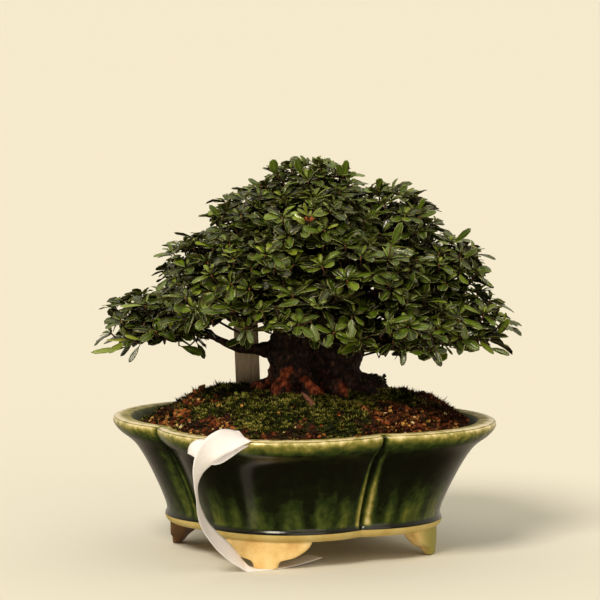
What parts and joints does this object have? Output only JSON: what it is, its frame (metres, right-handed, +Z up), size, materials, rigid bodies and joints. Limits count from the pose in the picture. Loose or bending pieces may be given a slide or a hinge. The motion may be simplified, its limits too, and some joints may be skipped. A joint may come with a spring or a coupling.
{
  "type": "satsuki azalea bonsai",
  "caption": "Squat evergreen azalea bonsai with a domed crown of small glossy leaves, in a lobed green-glazed pot on cloud feet.",
  "frame": {"origin": "on the surface the pot stands on, under the centre of the whole part's bounding box", "axes": "+Z up; the front that the picture shows faces -Y; +X is to the viewer's right, along the widest spread of the crown"},
  "size_m": [0.3112, 0.3038, 0.2962],
  "materials": {
    "glaze": "glossy dark green glaze over cream stoneware, bare at the base ring and feet",
    "mesh": "matte black",
    "soil": "damp clay granules under moss",
    "bark": "rough dark bark with reddish roots",
    "stake": "planed and weathered",
    "paper": "matte white",
    "foliage": "glossy dark green leaves"
  },
  "bodies": {
    "root": {"pot": "glaze", "drain_mesh_1": "mesh", "drain_mesh_2": "mesh", "soil": "soil", "trunk": "bark", "name_stake": "stake", "show_strip": "paper", "leaves_apex": "foliage", "leaves_crown_left": "foliage", "leaves_crown_right": "foliage", "leaves_crown_front": "foliage", "leaves_crown_back": "foliage", "leaves_shoulder_left": "foliage", "leaves_shoulder_front_left": "foliage", "leaves_shoulder_front_right": "foliage", "leaves_shoulder_right": "foliage", "leaves_shoulder_back_right": "foliage", "leaves_shoulder_back_left": "foliage", "leaves_skirt_left": "foliage", "leaves_skirt_front_left": "foliage", "leaves_skirt_front": "foliage", "leaves_skirt_front_right": "foliage", "leaves_skirt_right": "foliage", "leaves_skirt_back_right": "foliage", "leaves_skirt_back": "foliage", "leaves_skirt_back_left": "foliage"}
  },
  "joints": []
}
